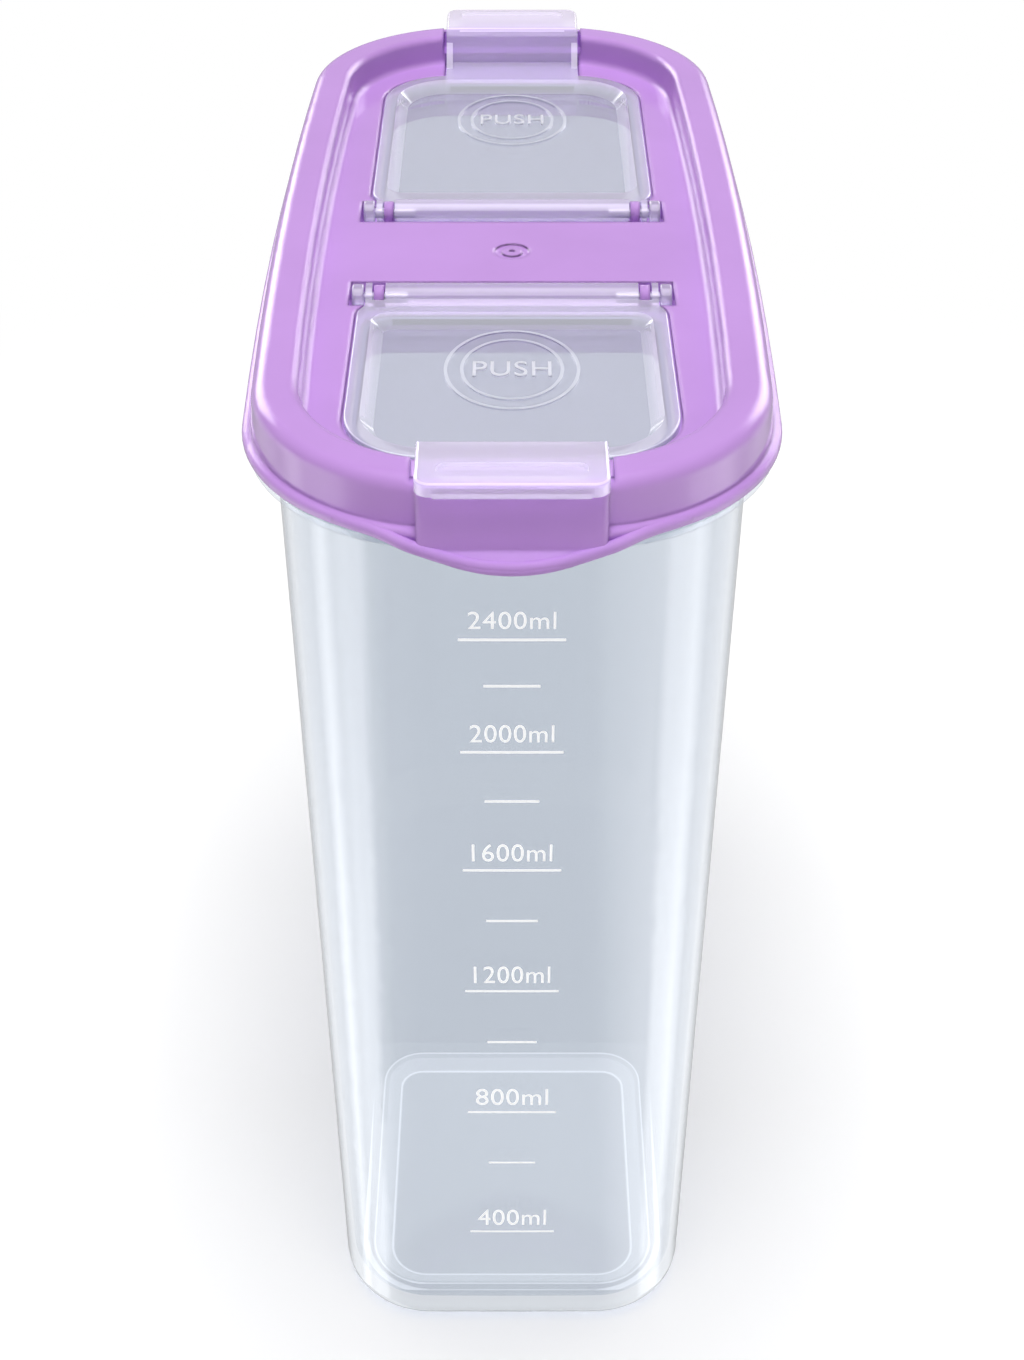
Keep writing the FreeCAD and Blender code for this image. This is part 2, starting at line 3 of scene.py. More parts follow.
import bmesh
import bpy
from bpy.props import (FloatProperty, FloatVectorProperty, IntProperty, PointerProperty,
                       StringProperty)
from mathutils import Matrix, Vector
from mathutils.bvhtree import BVHTree


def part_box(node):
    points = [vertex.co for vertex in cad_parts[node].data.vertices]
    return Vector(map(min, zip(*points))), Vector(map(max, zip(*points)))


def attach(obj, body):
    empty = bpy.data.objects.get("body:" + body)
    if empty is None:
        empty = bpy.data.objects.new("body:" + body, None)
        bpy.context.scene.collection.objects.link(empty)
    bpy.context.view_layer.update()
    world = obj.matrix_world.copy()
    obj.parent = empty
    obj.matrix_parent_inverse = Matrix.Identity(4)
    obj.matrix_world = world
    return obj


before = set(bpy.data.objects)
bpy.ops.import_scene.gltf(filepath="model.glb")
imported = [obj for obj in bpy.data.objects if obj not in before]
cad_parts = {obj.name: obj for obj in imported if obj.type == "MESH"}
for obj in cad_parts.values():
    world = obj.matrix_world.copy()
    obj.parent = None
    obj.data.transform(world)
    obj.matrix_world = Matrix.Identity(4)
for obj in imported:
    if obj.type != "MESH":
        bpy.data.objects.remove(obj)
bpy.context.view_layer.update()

bl_info = {
    "name": "Dry-food keeper",
    "version": (1, 0, 0),
    "blender": (4, 5, 0),
    "location": "View3D > Sidebar > Keeper",
    "description": "Dresses a clear tapered food keeper with a lavender lid and clear flip caps",
    "category": "Object",
}

MM = 0.001
WHITE = (1.0, 1.0, 1.0, 1.0)
BLACK = (0.0, 0.0, 0.0, 1.0)

# Pieces

CAPS = {"front": "front_cap", "rear": "rear_cap"}
PINS = ("front_left_hinge_pin", "front_right_hinge_pin",
        "rear_left_hinge_pin", "rear_right_hinge_pin")
SEALS = ("lid_gasket", "front_cap_seal", "rear_cap_seal")

# Half of a rolled lip edge from its middle to the bead: millimetres aside, out from the middle, up
LIP_EDGE = ((0.0, 104.95, 208.75), (5.4, 104.5, 209.0), (9.8, 103.55, 209.6),
            (13.3, 102.55, 210.3), (16.3, 102.1, 211.2), (19.3, 100.45, 211.9),
            (22.3, 98.8, 212.2), (25.0, 97.45, 212.2), (27.5, 96.0, 212.2))

STRIP_STEPS = 24
LETTER_DEPTH = 0.5
RAY_RUN_UP = 50.0 * MM

# Places that the masks for painted highlights, the painted lid reflection and the dull coat pick out,
# where lean is 1 on a level surface and 0 on an upright one

# Where the painted highlight round the tub's well glows
WELL_HALF_WIDTH = 33.5 * MM
WELL_FRONT = -87.0 * MM
WELL_BACK = -14.0 * MM
WELL_FOOT = 1.6 * MM
WELL_FLAT = 4.0 * MM
WELL_BRIM = 6.2 * MM
WELL_MIN_LEAN = 0.1
WELL_LEVEL_LEAN = 0.99
WELL_SLOPE_LEAN = 0.9
WELL_EDGE_LEAN = 0.955
WELL_EDGE_SPREAD = 0.05

FAR_CORNER_Y = 60.0 * MM
FAR_CORNER_TOP = 16.0 * MM
FAR_CORNER_TURN = 0.05

# Heights where the painted lavender reflection of the lid comes in on the latches
LATCH_FOOT = 213.5 * MM
LATCH_FULL = 216.0 * MM

# Where the painted highlights on the caps glow, and how faint the one over flange and latch is
UPPER_FOOT = 213.6 * MM
UPPER_FULL = 219.0 * MM
UPPER_PAINTED_HIGHLIGHT = 0.05
RINGS_FOOT = 213.1 * MM
RINGS_TOP = 213.5 * MM
RINGS_LEAN = 0.9
GRIP_FLOOR = 222.4 * MM
GRIP_HALF_WIDTH = 11.8 * MM
GRIP_REACH = 102.2 * MM
GRIP_LEAN = 0.3
CAP_ROUND_LEAN = 0.72
CAP_ROUND_SPREAD = 0.24

# Room that gloss mirrors, where a rise is the sine of the angle above level

FIRST_BOUNCE = 0.5
HORIZON = (-0.15, 0.05)
UPPER_LEVEL = 0.5
TOP_BOX_RISE = (0.86, 0.96)
TOP_BOX_LEVEL = 1.4
REAR_BOX_TURN = math.radians(147.0)
REAR_BOX_HALF_WIDTH = math.radians(20.0)
REAR_BOX_RISE = 0.34
REAR_BOX_HALF_HEIGHT = 0.28
REAR_BOX_LEVEL = 8.0
CARD_FOOT_RISE = (-0.95, -0.68)
CARD_FOOT_LEVEL = 0.25
CARD_PEAK = 5.0

# Cards round the lower room: degrees round from the front towards +X, and brightness
CARDS = ((-180, 0.4), (-150, 0.6), (-125, 1.6), (-110, 2.0), (-98, 4.4), (-88, 3.2),
         (-78, 4.2), (-66, 4.2), (-58, 1.8), (-45, 0.8), (-20, 0.4), (0, 0.35),
         (14, 0.6), (30, 1.6), (50, 2.4), (64, 2.7), (72, 4.6), (94, 4.6),
         (108, 2.0), (128, 1.6), (150, 0.6), (180, 0.4))

# Lamps: name, place, size, power in watts, and the point that it faces
LAMPS = (
    ("top_softbox", (0.0, -0.25, 4.0), (2.2, 2.2), 130.0, (0.0, 0.0, 0.2)),
    ("front_fill", (0.0, -1.4, 0.9), (1.0, 0.6), 1.6, (0.0, 0.0, 0.15)),
)


# Settings

class KeeperScale(bpy.types.PropertyGroup):
    """Printed measuring scale on the tub's narrow front."""
    first_height: FloatProperty(
        name="First mark", description="Height of the lowest long line above the base",
        default=32.0 * MM, unit="LENGTH")
    step: FloatProperty(
        name="Step",
        description="Height from the lowest long line to the next, before the marks draw closer",
        default=40.6 * MM, unit="LENGTH")
    narrowing: FloatProperty(
        name="Narrowing", description="How much closer the marks draw as the tub widens upwards",
        default=1.85 * MM, unit="LENGTH")
    tick_share: FloatProperty(
        name="Tick place", description="Place of a short tick between two long lines",
        default=0.58, min=0.0, max=1.0, subtype="FACTOR")
    marks: IntProperty(name="Marks", description="Number of long lines", default=6, min=1)
    millilitres: IntProperty(
        name="Volume step", description="Millilitres from one long line to the next", default=400)
    line_width: FloatProperty(
        name="Line width", description="Length of a long line across the front",
        default=17.5 * MM, unit="LENGTH")
    tick_width: FloatProperty(
        name="Tick width", description="Length of a short tick across the front",
        default=9.4 * MM, unit="LENGTH")
    line_height: FloatProperty(
        name="Line height", description="Thickness of the printed lines",
        default=0.55 * MM, unit="LENGTH")
    label_width: FloatProperty(
        name="Label width", description="Width that each number is fitted to",
        default=14.2 * MM, unit="LENGTH")
    label_low_height: FloatProperty(
        name="Lowest label", description="Letter height of the lowest number",
        default=5.2 * MM, unit="LENGTH")
    label_high_height: FloatProperty(
        name="Highest label", description="Letter height of the highest number",
        default=3.5 * MM, unit="LENGTH")
    label_gap: FloatProperty(
        name="Label gap", description="Gap between a number and its line",
        default=1.9 * MM, unit="LENGTH")
    film: FloatProperty(
        name="Film", description="How far the print stands off the wall",
        default=0.06 * MM, unit="LENGTH")


class KeeperCapLabel(bpy.types.PropertyGroup):
    """Raised function word inside the finger rings of each cap."""
    word: StringProperty(name="Word", description="Function word", default="PUSH")
    width: FloatProperty(
        name="Width", description="Width of the word", default=13.6 * MM, unit="LENGTH")
    height: FloatProperty(
        name="Height", description="Letter height", default=5.2 * MM, unit="LENGTH")
    relief: FloatProperty(
        name="Relief", description="How far the letters stand up",
        default=0.3 * MM, unit="LENGTH")
    sink: FloatProperty(
        name="Sink", description="How far the letters reach into the cap",
        default=0.1 * MM, unit="LENGTH")
    front_y: FloatProperty(
        name="Front place", description="Middle of the front word",
        default=-50.0 * MM, unit="LENGTH")
    rear_y: FloatProperty(
        name="Rear place", description="Middle of the rear word",
        default=62.5 * MM, unit="LENGTH")
    tint: FloatVectorProperty(
        name="Tint", description="Milky tint of the letters",
        size=3, subtype="COLOR", min=0.0, max=1.0, default=(0.88, 0.88, 0.93))
    clarity: FloatProperty(
        name="Clarity", description="Share of light that passes straight through the letters",
        default=0.3, min=0.0, max=1.0, subtype="FACTOR")


class KeeperLipEdge(bpy.types.PropertyGroup):
    """Rolled edge round each thumb lip of the lid."""
    thickness: FloatProperty(
        name="Thickness", description="Thickness of the rolled edge on each thumb lip",
        default=2.1 * MM, unit="LENGTH")
    tail: FloatProperty(
        name="Tail",
        description="Share of the thickness left where the edge runs into the lid's bead",
        default=0.88, subtype="FACTOR")


class KeeperFinish(bpy.types.PropertyGroup):
    """Colours and clearness of the plastics, the print and the seals."""
    tub_tint: FloatVectorProperty(
        name="Tub", description="Tint of the clear tub",
        size=3, subtype="COLOR", min=0.0, max=1.0, default=(0.73, 0.765, 0.815))
    tub_clarity: FloatProperty(
        name="Tub clarity", description="Share of light that passes straight through the tub",
        default=1.0, min=0.0, max=1.0, subtype="FACTOR")
    cap_tint: FloatVectorProperty(
        name="Caps", description="Tint of the clear caps",
        size=3, subtype="COLOR", min=0.0, max=1.0, default=(0.60, 0.61, 0.69))
    cap_clarity: FloatProperty(
        name="Cap clarity", description="Share of light that passes straight through the caps",
        default=0.66, min=0.0, max=1.0, subtype="FACTOR")
    # Painted lavender reflection of the lid, put into the latches' colour
    latch_painted_reflection: FloatVectorProperty(
        name="Latches", description="Tint of the latches at the ends of the caps",
        size=3, subtype="COLOR", min=0.0, max=1.0, default=(0.83, 0.77, 0.90))
    lid_colour: FloatVectorProperty(
        name="Lid", description="Lavender of the lid",
        size=3, subtype="COLOR", min=0.0, max=1.0, default=(0.60, 0.33, 0.80))
    print_colour: FloatVectorProperty(
        name="Print", description="White of the printed scale",
        size=3, subtype="COLOR", min=0.0, max=1.0, default=(0.93, 0.94, 0.95))
    seal_colour: FloatVectorProperty(
        name="Seals", description="Pale silicone",
        size=3, subtype="COLOR", min=0.0, max=1.0, default=(0.90, 0.90, 0.93))


class KeeperStage(bpy.types.PropertyGroup):
    """Camera, room light and floor."""
    lens: FloatProperty(
        name="Lens", description="Focal length on a 36 mm sensor", default=53.18, unit="CAMERA")
    camera_distance: FloatProperty(
        name="Camera distance", description="How far in front of the middle the camera stands",
        default=358.8 * MM, unit="LENGTH")
    camera_height: FloatProperty(
        name="Camera height", description="Height of the camera above the floor",
        default=380.2 * MM, unit="LENGTH")
    camera_tilt: FloatProperty(
        name="Camera tilt", description="How far down the camera looks",
        default=math.radians(37.21), subtype="ANGLE")
    world_level: FloatProperty(
        name="Room light", description="Level of the soft light all round", default=0.15)
    floor_glow: FloatProperty(
        name="Floor glow", description="Part of the floor's white that shadow can't dim",
        default=0.27)
    floor_white: FloatProperty(
        name="Floor white", description="Whiteness of the floor", default=0.88)
    floor_radius: FloatProperty(
        name="Floor radius", description="Radius of the round floor", default=6.0, unit="LENGTH")
    floor_drop: FloatProperty(
        name="Floor drop", description="How far below the base the floor lies",
        default=0.3 * MM, unit="LENGTH")
    shadow_fade: FloatProperty(
        name="Shadow fade", description="Distance from the middle where shadow starts to fade",
        default=0.16, unit="LENGTH")
    shadow_end: FloatProperty(
        name="Shadow end", description="Distance from the middle where shadow is gone",
        default=0.45, unit="LENGTH")


# Shader expressions

class Sock:
    """A shader socket that Python's operators act on."""

    def __init__(self, tree, socket):
        self.tree = tree
        self.socket = socket

    def _maths(self, operation, *values):
        inputs = {f"i{place}": value for place, value in enumerate(values)}
        return shader_node(self.tree, "ShaderNodeMath", {"operation": operation}, **inputs)[0]

    def __add__(self, other):
        return self._maths("ADD", self, other)

    def __radd__(self, other):
        return self._maths("ADD", other, self)

    def __sub__(self, other):
        return self._maths("SUBTRACT", self, other)

    def __rsub__(self, other):
        return self._maths("SUBTRACT", other, self)

    def __mul__(self, other):
        return self._maths("MULTIPLY", self, other)

    def __rmul__(self, other):
        return self._maths("MULTIPLY", other, self)

    def __lt__(self, other):
        return self._maths("LESS_THAN", self, other)

    def __gt__(self, other):
        return self._maths("GREATER_THAN", self, other)

    def __abs__(self):
        return self._maths("ABSOLUTE", self)


def shader_node(tree, kind, settings=None, **values):
    """Add a node, set its settings, then its inputs by name or by place (i0, i1).

    A colour ramp's stops are a setting too. Gives back the node's outputs.
    """
    made = tree.nodes.new(kind)
    for name, value in (settings or {}).items():
        if name == "stops":
            ramp = made.color_ramp
            while len(ramp.elements) < len(value):
                ramp.elements.new(0.5)
            for element, (place, colour) in zip(ramp.elements, value):
                element.position = place
                element.color = colour
        else:
            setattr(made, name, value)
    for name, value in values.items():
        by_place = name[0] == "i" and name[1:].isdigit()
        target = made.inputs[int(name[1:]) if by_place else name.replace("_", " ")]
        if isinstance(value, Sock):
            tree.links.new(value.socket, target)
        else:
            target.default_value = value
    return [Sock(tree, out) for out in made.outputs]


def named_outputs(tree, kind):
    """A new node's outputs by their own names."""
    return {out.socket.name: out for out in shader_node(tree, kind)}


def light_path(tree):
    """What kind of ray meets the surface."""
    return named_outputs(tree, "ShaderNodeLightPath")


def split(tree, vector):
    """The x, y and z of a vector."""
    return shader_node(tree, "ShaderNodeSeparateXYZ", None, Vector=vector)


def place_and_normal(tree):
    """A surface point's x, y and z on its piece, and the x, y and z of the way it faces."""
    spots = named_outputs(tree, "ShaderNodeTexCoord")
    return split(tree, spots["Object"]), split(tree, spots["Normal"])


def soft_step(tree, value, start, end, **levels):
    """Smooth rise from nought at start to one at end, or between the levels To_Min and To_Max."""
    return shader_node(tree, "ShaderNodeMapRange", {"interpolation_type": "SMOOTHSTEP"},
                       Value=value, From_Min=start, From_Max=end, **levels)[0]


def band(tree, value, middle, half):
    """One round a value's middle, falling softly to nought at half a width to each side."""
    return soft_step(tree, abs(value - middle), half, 0.5 * half)


def noise(tree, scale, detail):
    """Cloudy pattern that is fixed to the piece."""
    place = named_outputs(tree, "ShaderNodeTexCoord")["Object"]
    return shader_node(tree, "ShaderNodeTexNoise", None, Vector=place, Scale=scale,
                       Detail=detail)[0]


def two_tones(tree, value, first, second):
    """Colour that drifts from a first tone to a second with a noise."""
    stops = [(0.3, rgba(first)), (0.7, rgba(second))]
    return shader_node(tree, "ShaderNodeValToRGB", {"stops": stops}, Fac=value)[0]


def mix_colours(tree, share, first, second):
    """Blend of two colours by the share of the second."""
    return shader_node(tree, "ShaderNodeMix", {"data_type": "RGBA"}, i0=share, i6=first,
                       i7=second)[2]


def mix_shaders(tree, share, first, second):
    """Blend of two shaders by the share of the second."""
    return shader_node(tree, "ShaderNodeMixShader", None, i0=share, i1=first, i2=second)[0]


def lit_through(tree, body, tint):
    """A clear body that lamps shine through, tinting their light."""
    through = shader_node(tree, "ShaderNodeBsdfTransparent", None, Color=rgba(tint))[0]
    return mix_shaders(tree, light_path(tree)["Is Shadow Ray"], body, through)


def new_material(name):
    """An empty material and its nodes."""
    material = bpy.data.materials.new(name)
    material.use_nodes = True
    material.node_tree.nodes.clear()
    return material, material.node_tree


def close_material(tree, shader):
    """Give a material's shader to its output."""
    shader_node(tree, "ShaderNodeOutputMaterial", None, Surface=shader)


def rgba(colour):
    """A colour with full alpha."""
    return (colour[0], colour[1], colour[2], 1.0)


def grey(level):
    """A grey with full alpha."""
    return (level, level, level, 1.0)


def set_material(obj, material):
    """Make a material an object's only one."""
    obj.data.materials.clear()
    obj.data.materials.append(material)


# Materials

def clear_plastic(name, tint, clarity, painted_highlight=None, dull=None, painted_lid_reflection=None):
    """Clear moulded plastic with faint flow clouds, which lamps shine through.

    Masks say where a painted highlight glows on edges, where the gloss is dull, and where a painted
    lavender reflection of the lid tints the plastic.
    """
    material, tree = new_material(name)
    cloud = noise(tree, scale=14.0, detail=3.0)
    tone = two_tones(tree, cloud, [c * 0.985 for c in tint], tint)
    # Painted reflection: lavender of the lid mixed into the latches' base colour, standing in for
    # light from the lid
    if painted_lid_reflection:
        where, colour = painted_lid_reflection
        tone = mix_colours(tree, where(tree), tone, rgba(colour))
    values = {"Coat_Weight": 1.0 - dull(tree) if dull else 1.0}
    # Painted highlight: a white glow where the mask says, standing in for light caught by edges
    if painted_highlight:
        values["Emission_Color"] = mix_colours(tree, painted_highlight(tree), BLACK, WHITE)
        values["Emission_Strength"] = 0.45
    body = shader_node(tree, "ShaderNodeBsdfPrincipled", None, Base_Color=tone,
                       Roughness=0.05 + 0.04 * cloud, IOR=1.0, Transmission_Weight=clarity,
                       Coat_Roughness=0.05, Coat_IOR=1.5, **values)[0]
    close_material(tree, lit_through(tree, body, tint))
    return material


def well_painted_highlight(tree):
    """Mask for the well in the tub's floor.

    It paints a highlight that glows faintly on the well's flat, stronger on its slopes, strongest on
    its rounded edges.
    """
    (x, y, z), normal = place_and_normal(tree)
    lean = normal[2]
    inside = (abs(x) < WELL_HALF_WIDTH) * (y < WELL_BACK) * (y > WELL_FRONT)
    level = (z < WELL_BRIM) * (z > WELL_FOOT) * (lean > WELL_MIN_LEAN)
    sunk = z < WELL_FLAT
    slope = soft_step(tree, lean, WELL_LEVEL_LEAN, WELL_SLOPE_LEAN)
    edge = band(tree, lean, WELL_EDGE_LEAN, WELL_EDGE_SPREAD)
    return inside * level * (0.18 * sunk + 0.28 * slope + 0.75 * edge)


def far_corner(tree):
    """Mask for the inside round from the tub's floor to its far wall, which the mould leaves dull."""
    place, normal = place_and_normal(tree)
    corner = (place[2] < FAR_CORNER_TOP) * (place[1] > FAR_CORNER_Y)
    return corner * (normal[1] < -FAR_CORNER_TURN) * (normal[2] > FAR_CORNER_TURN)


def latch_lid_reflection_mask(tree):
    """Mask for the latch at a cap's end, where a painted lavender reflection stands in for the lid's
    light caught in the thick plastic.
    """
    place, _ = place_and_normal(tree)
    return soft_step(tree, place[2], LATCH_FOOT, LATCH_FULL)


def cap_painted_highlight(tree):
    """Mask for a cap's rounded edges, finger rings and grip.

    It paints a highlight on them, and a faint painted highlight lies over the flange and latch above
    the pan.
    """
    (x, y, z), normal = place_and_normal(tree)
    lean = normal[2]
    upright = (lean > -GRIP_LEAN) * (lean < GRIP_LEAN)
    grip = upright * (z > GRIP_FLOOR) * (abs(x) < GRIP_HALF_WIDTH) * (abs(y) < GRIP_REACH)
    upper = soft_step(tree, z, UPPER_FOOT, UPPER_FULL, To_Max=UPPER_PAINTED_HIGHLIGHT)
    rings = (lean > RINGS_LEAN) * (z > RINGS_FOOT) * (z < RINGS_TOP)
    rounds = band(tree, lean, CAP_ROUND_LEAN, CAP_ROUND_SPREAD)
    return upper + 0.45 * rings + 0.45 * grip + 0.4 * rounds


def lid_plastic(name, colour):
    """Glossy coloured plastic with softened edges, a faint moulded ripple and colour drift."""
    material, tree = new_material(name)
    drift = noise(tree, scale=35.0, detail=3.0)
    deep = [c * 0.96 for c in colour]
    pale = [min(1.0, c * 1.04) for c in colour]
    grain = noise(tree, scale=900.0, detail=2.0)
    edges = shader_node(tree, "ShaderNodeBevel", {"samples": 4}, Radius=1.3 * MM)[0]
    bump = shader_node(tree, "ShaderNodeBump", None, Strength=0.04, Distance=0.05 * MM,
                       Height=grain, Normal=edges)[0]
    body = shader_node(tree, "ShaderNodeBsdfPrincipled", None,
                       Base_Color=two_tones(tree, drift, deep, pale),
                       Roughness=0.09 + 0.05 * drift, IOR=1.37, Normal=bump)[0]
    close_material(tree, body)
    return material


def silicone(name, colour):
    """Clear soft silicone with a fine dusty grain."""
    material, tree = new_material(name)
    dust = noise(tree, scale=600.0, detail=4.0)
    bump = shader_node(tree, "ShaderNodeBump", None, Strength=0.08, Distance=0.05 * MM,
                       Height=dust)[0]
    body = shader_node(tree, "ShaderNodeBsdfPrincipled", None, Base_Color=rgba(colour),
                       Roughness=0.5 + 0.15 * dust, IOR=1.0, Transmission_Weight=0.7,
                       Coat_Weight=0.5, Coat_Roughness=0.4, Normal=bump)[0]
    close_material(tree, lit_through(tree, body, colour))
    return material


def print_ink_with_painted_glow(name, colour):
    """White screen print with a slightly uneven film, and a painted glow that lifts it above the
    light falling on it.
    """
    material, tree = new_material(name)
    film = noise(tree, scale=700.0, detail=3.0)
    # Painted light: the ink glows a little, so the print shows brighter than its lighting makes it
    body = shader_node(tree, "ShaderNodeBsdfPrincipled", None, Base_Color=rgba(colour),
                       Roughness=0.4 + 0.2 * film, Emission_Color=rgba(colour),
                       Emission_Strength=0.42)[0]
    close_material(tree, body)
    return material


# Meshes

def link_object(name, data):
    """A new object in the scene for a mesh, curve, lamp or camera."""
    obj = bpy.data.objects.new(name, data)
    bpy.context.scene.collection.objects.link(obj)
    return obj


def curve_mesh(name, curve):
    """The mesh of a curve or lettering, which is then removed."""
    holder = link_object(name + "_outline", curve)
    bpy.context.view_layer.update()
    depsgraph = bpy.context.evaluated_depsgraph_get()
    mesh = bpy.data.meshes.new_from_object(holder.evaluated_get(depsgraph))
    bpy.data.objects.remove(holder)
    bpy.data.curves.remove(curve)
    mesh.name = name
    return mesh


def text_mesh(name, words, depth=0.0):
    """Lettering as a mesh in X and Y, flat or with a depth to each side."""
    curve = bpy.data.curves.new(name, "FONT")
    curve.body = words
    curve.extrude = depth
    curve.space_character = 1.06
    curve.resolution_u = 6
    return curve_mesh(name, curve)


def fit_letters(mesh, width, height):
    """Scale lettering to a width and a height, with its middle at x = 0 and its foot at y = 0."""
    xs = [v.co.x for v in mesh.vertices]
    ys = [v.co.y for v in mesh.vertices]
    wide = width / (max(xs) - min(xs))
    tall = height / (max(ys) - min(ys))
    middle = (max(xs) + min(xs)) / 2
    foot = min(ys)
    for v in mesh.vertices:
        v.co.x = (v.co.x - middle) * wide
        v.co.y = (v.co.y - foot) * tall
    return mesh


def strip_mesh(name, width, height):
    """Flat line in X and Y with square ends, divided along its length so that it can bend."""
    mesh = bpy.data.meshes.new(name)
    made = bmesh.new()
    lows, highs = [], []
    for i in range(STRIP_STEPS + 1):
        x = width * (i / STRIP_STEPS - 0.5)
        lows.append(made.verts.new((x, 0.0, 0.0)))
        highs.append(made.verts.new((x, height, 0.0)))
    for i in range(STRIP_STEPS):
        made.faces.new((lows[i], lows[i + 1], highs[i + 1], highs[i]))
    made.to_mesh(mesh)
    made.free()
    return mesh


def roll_mesh(name, points, thickness, tail):
    """Round roll along a smooth line that points guide, thinner at its two ends."""
    curve = bpy.data.curves.new(name, "CURVE")
    curve.dimensions = "3D"
    curve.bevel_depth = thickness / 2
    curve.bevel_resolution = 5
    curve.use_fill_caps = True
    curve.resolution_u = 8
    line = curve.splines.new("NURBS")
    last = len(points) - 1
    line.points.add(last)
    for i, point in enumerate(points):
        line.points[i].co = (*point, 1.0)
        line.points[i].radius = tail if i in (0, last) else 1.0
    line.order_u = 3
    line.use_endpoint_u = True
    return curve_mesh(name, curve)


def node_surface(name):
    """A CAD node's surface, ready to be met by rays."""
    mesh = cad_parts[name].data
    return BVHTree.FromPolygons([v.co for v in mesh.vertices],
                                [p.vertices for p in mesh.polygons])


class FrontWall:
    """Finds the outside of the tub's front wall, so that print lies on it."""

    def __init__(self):
        self.surface = node_surface("container_body")
        self.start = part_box("container_body")[0][1] - RAY_RUN_UP

    def lay(self, mesh, height, film):
        """Stand a flat mesh up at a height and press it onto the wall."""
        for v in mesh.vertices:
            z = height + v.co.y
            start = Vector((v.co.x, self.start, z))
            hit = self.surface.ray_cast(start, Vector((0.0, 1.0, 0.0)))[0]
            v.co = Vector((v.co.x, hit.y - film, z))
        mesh.update()
        return mesh


def mark_height(scale, place):
    """Height of a line or tick, counted in marks up from the lowest long line."""
    return scale.first_height + scale.step * place - scale.narrowing * place * place


# Operators

class KEEPER_OT_tub(bpy.types.Operator):
    """Give the tub its clear plastic"""
    bl_idname = "keeper.tub"
    bl_label = "Tub"

    def execute(self, context):
        finish = context.scene.keeper_finish
        # The tub carries a painted highlight, a white glow round the well in its floor
        material = clear_plastic("tub_clear", finish.tub_tint, finish.tub_clarity,
                                 painted_highlight=well_painted_highlight, dull=far_corner)
        set_material(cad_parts["container_body"], material)
        return {"FINISHED"}


class KEEPER_OT_lid(bpy.types.Operator):
    """Give the lid its lavender plastic"""
    bl_idname = "keeper.lid"
    bl_label = "Lid"

    def execute(self, context):
        finish = context.scene.keeper_finish
        set_material(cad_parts["lid"], lid_plastic("lid_lavender", finish.lid_colour))
        return {"FINISHED"}


class KEEPER_OT_lip_edges(bpy.types.Operator):
    """Roll an edge round each thumb lip, running into the lid's bead"""
    bl_idname = "keeper.lip_edges"
    bl_label = "Thumb lip edges"

    def execute(self, context):
        edge = context.scene.keeper_lip_edge
        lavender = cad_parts["lid"].data.materials[0]
        for side, way in (("front", -1.0), ("rear", 1.0)):
            half = [(x * MM, way * y * MM, z * MM) for x, y, z in LIP_EDGE]
            points = [(-x, y, z) for x, y, z in reversed(half[1:])] + half
            mesh = roll_mesh(f"{side}_lip_edge", points, edge.thickness, edge.tail)
            mesh.polygons.foreach_set("use_smooth", [True] * len(mesh.polygons))
            piece = link_object(mesh.name, mesh)
            set_material(piece, lavender)
            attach(piece, "lid")
        return {"FINISHED"}


class KEEPER_OT_caps(bpy.types.Operator):
    """Give the flip caps and their stub pins clear plastic"""
    bl_idname = "keeper.caps"
    bl_label = "Caps and pins"

    def execute(self, context):
        finish = context.scene.keeper_finish
        # The caps carry painted highlights on edges, rings and grip, and a painted lavender
        # reflection of the lid on the latches
        material = clear_plastic("cap_clear", finish.cap_tint, finish.cap_clarity,
                                 painted_highlight=cap_painted_highlight, painted_lid_reflection=(latch_lid_reflection_mask, finish.latch_painted_reflection))
        for name in (*CAPS.values(), *PINS):
            set_material(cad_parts[name], material)
        return {"FINISHED"}


class KEEPER_OT_seals(bpy.types.Operator):
    """Give the seals their silicone"""
    bl_idname = "keeper.seals"
    bl_label = "Seals"

    def execute(self, context):
        material = silicone("seal_silicone", context.scene.keeper_finish.seal_colour)
        for name in SEALS:
            set_material(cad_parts[name], material)
        return {"FINISHED"}


class KEEPER_OT_scale(bpy.types.Operator):
    """Print the measuring scale on the tub's front"""
    bl_idname = "keeper.scale"
    bl_label = "Measuring scale"

    def execute(self, context):
        scale = context.scene.keeper_scale
        # The scale's ink carries a painted glow
        ink = print_ink_with_painted_glow("scale_print", context.scene.keeper_finish.print_colour)
        wall = FrontWall()
        for i in range(scale.marks):
            height = mark_height(scale, i)
            line = strip_mesh(f"scale_line_{i + 1}", scale.line_width, scale.line_height)
            self.add(wall.lay(line, height, scale.film), ink)
            volume = (i + 1) * scale.millilitres
            share = i / max(1, scale.marks - 1)
            tall = (scale.label_low_height
                    + share * (scale.label_high_height - scale.label_low_height))
            letters = text_mesh(f"scale_label_{volume}", f"{volume}ml")
            label = fit_letters(letters, scale.label_width, tall)
            foot = height + scale.line_height + scale.label_gap
            self.add(wall.lay(label, foot, scale.film), ink)
        for i in range(scale.marks - 1):
            tick = strip_mesh(f"scale_tick_{i + 1}", scale.tick_width, scale.line_height)
            self.add(wall.lay(tick, mark_height(scale, i + scale.tick_share), scale.film), ink)
        return {"FINISHED"}

    def add(self, mesh, ink):
        piece = link_object(mesh.name, mesh)
        set_material(piece, ink)
        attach(piece, "container")


